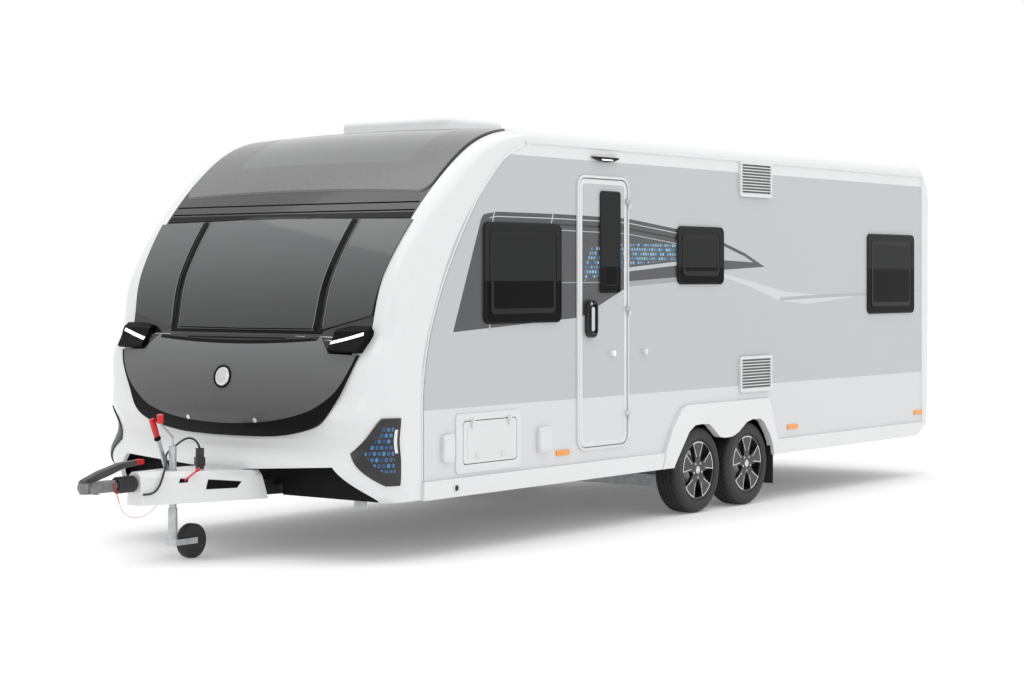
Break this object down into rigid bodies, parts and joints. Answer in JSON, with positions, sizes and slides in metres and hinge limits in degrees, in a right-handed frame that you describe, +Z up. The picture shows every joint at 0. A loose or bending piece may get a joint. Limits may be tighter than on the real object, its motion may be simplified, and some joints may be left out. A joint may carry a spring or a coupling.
{
  "type": "travel caravan",
  "caption": "Twin-axle touring caravan with opening door, front locker and service hatch, jockey wheel, steadies and free-turning road wheels.",
  "frame": {"origin": "on the ground under the middle of the bounding box", "axes": "+X forward to the coupling, +Y to the left, the entrance door's side, +Z up"},
  "size_m": [8.3105, 2.34, 2.652],
  "materials": {
    "white_gel": "satin gel coat",
    "grey_panel": "smooth painted sheet",
    "dark_grey_panel": "satin",
    "tinted_glass": "dark tinted acrylic",
    "black_plastic": "moulded grain",
    "white_plastic": "moulded",
    "galvanised": "galvanised",
    "cast": "painted casting",
    "alloy": "black alloy with cut edges",
    "tyre": "rubber",
    "rubber": "matt",
    "lamp_red": "lens",
    "wood_floor": "laminated board",
    "grey_lever": "moulded grip"
  },
  "bodies": {
    "shell": {"axle_front": "galvanised", "axle_rear": "galvanised", "bellows": "rubber", "breakaway_cable": "rubber", "chassis": "galvanised", "corner_grilles": "black_plastic", "coupling_handle": "grey_lever", "coupling_head": "cast", "door_frame": "white_plastic", "drawbar_cover": "white_gel", "floor": "wood_floor", "front_lamps": "black_plastic", "front_panel": "white_gel", "front_windows": "tinted_glass", "handbrake_lever": "galvanised", "hatch_bin": "white_plastic", "hatch_frame": "white_plastic", "jockey_tube": "galvanised", "locker_tray": "black_plastic", "mudflaps": "rubber", "rear_lamps": "lamp_red", "rear_panel": "white_gel", "rear_window": "tinted_glass", "roof": "white_gel", "roof_domes": "white_plastic", "side_windows_left": "tinted_glass", "side_windows_right": "tinted_glass", "skirt_left": "white_gel", "skirt_right": "white_gel", "small_covers": "white_plastic", "sunroof_glass": "tinted_glass", "sunroof_panel": "dark_grey_panel", "tow_cable": "rubber", "tow_plug": "black_plastic", "vents": "white_plastic", "wall_left": "grey_panel", "wall_right": "grey_panel", "wheel_boxes": "black_plastic"},
    "door": {"door_leaf": "grey_panel", "door_window": "tinted_glass", "door_handle": "black_plastic"},
    "locker": {"locker_lid": "dark_grey_panel", "locker_lip": "black_plastic"},
    "hatch": {"hatch_lid": "white_plastic"},
    "jockey_leg": {"jockey_sleeve": "galvanised"},
    "jockey_caster": {"jockey_fork": "galvanised"},
    "jockey_roller": {"jockey_wheel": "rubber"},
    "wheel_front_left": {"tyre_front_left": "tyre", "rim_front_left": "alloy"},
    "wheel_front_right": {"tyre_front_right": "tyre", "rim_front_right": "alloy"},
    "wheel_rear_left": {"tyre_rear_left": "tyre", "rim_rear_left": "alloy"},
    "wheel_rear_right": {"tyre_rear_right": "tyre", "rim_rear_right": "alloy"},
    "leg_front_left": {"steady_front_left": "galvanised"},
    "leg_front_right": {"steady_front_right": "galvanised"},
    "leg_rear_left": {"steady_rear_left": "galvanised"},
    "leg_rear_right": {"steady_rear_right": "galvanised"}
  },
  "joints": [
    {"name": "door_swing", "type": "hinge", "parent": "shell", "child": "door", "pos_m": [0.468, 1.164, 1.4], "axis": [0, 0, 1], "range_deg": [0, 165]},
    {"name": "locker_lift", "type": "hinge", "parent": "shell", "child": "locker", "pos_m": [2.929, 0, 1.276], "axis": [0, -1, 0], "range_deg": [0, 80]},
    {"name": "hatch_lift", "type": "hinge", "parent": "shell", "child": "hatch", "pos_m": [1.954, 1.157, 0.78], "axis": [1, 0, 0], "range_deg": [0, 95]},
    {"name": "jockey_wind", "type": "slide", "parent": "shell", "child": "jockey_leg", "axis": [0, 0, 1], "range_m": [0, 0.12]},
    {"name": "jockey_swivel", "type": "hinge", "parent": "jockey_leg", "child": "jockey_caster", "pos_m": [3.462, 0, 0.1], "axis": [0, 0, 1], "continuous": true},
    {"name": "jockey_roll", "type": "hinge", "parent": "jockey_caster", "child": "jockey_roller", "pos_m": [3.314, 0, 0.1], "axis": [0, 1, 0], "continuous": true},
    {"name": "spin_front_left", "type": "hinge", "parent": "shell", "child": "wheel_front_left", "pos_m": [-0.445, 1.0375, 0.298], "axis": [0, 1, 0], "continuous": true},
    {"name": "spin_front_right", "type": "hinge", "parent": "shell", "child": "wheel_front_right", "pos_m": [-0.445, -1.0375, 0.298], "axis": [0, 1, 0], "continuous": true},
    {"name": "spin_rear_left", "type": "hinge", "parent": "shell", "child": "wheel_rear_left", "pos_m": [-1.107, 1.0375, 0.298], "axis": [0, 1, 0], "continuous": true},
    {"name": "spin_rear_right", "type": "hinge", "parent": "shell", "child": "wheel_rear_right", "pos_m": [-1.107, -1.0375, 0.298], "axis": [0, 1, 0], "continuous": true},
    {"name": "lower_front_left", "type": "hinge", "parent": "shell", "child": "leg_front_left", "pos_m": [2.245, 0.76, 0.336], "axis": [0, 1, 0], "range_deg": [0, 38]},
    {"name": "lower_front_right", "type": "hinge", "parent": "shell", "child": "leg_front_right", "pos_m": [2.245, -0.76, 0.336], "axis": [0, 1, 0], "range_deg": [0, 38]},
    {"name": "lower_rear_left", "type": "hinge", "parent": "shell", "child": "leg_rear_left", "pos_m": [-3.305, 0.76, 0.336], "axis": [0, -1, 0], "range_deg": [0, 38]},
    {"name": "lower_rear_right", "type": "hinge", "parent": "shell", "child": "leg_rear_right", "pos_m": [-3.305, -0.76, 0.336], "axis": [0, -1, 0], "range_deg": [0, 38]}
  ]
}
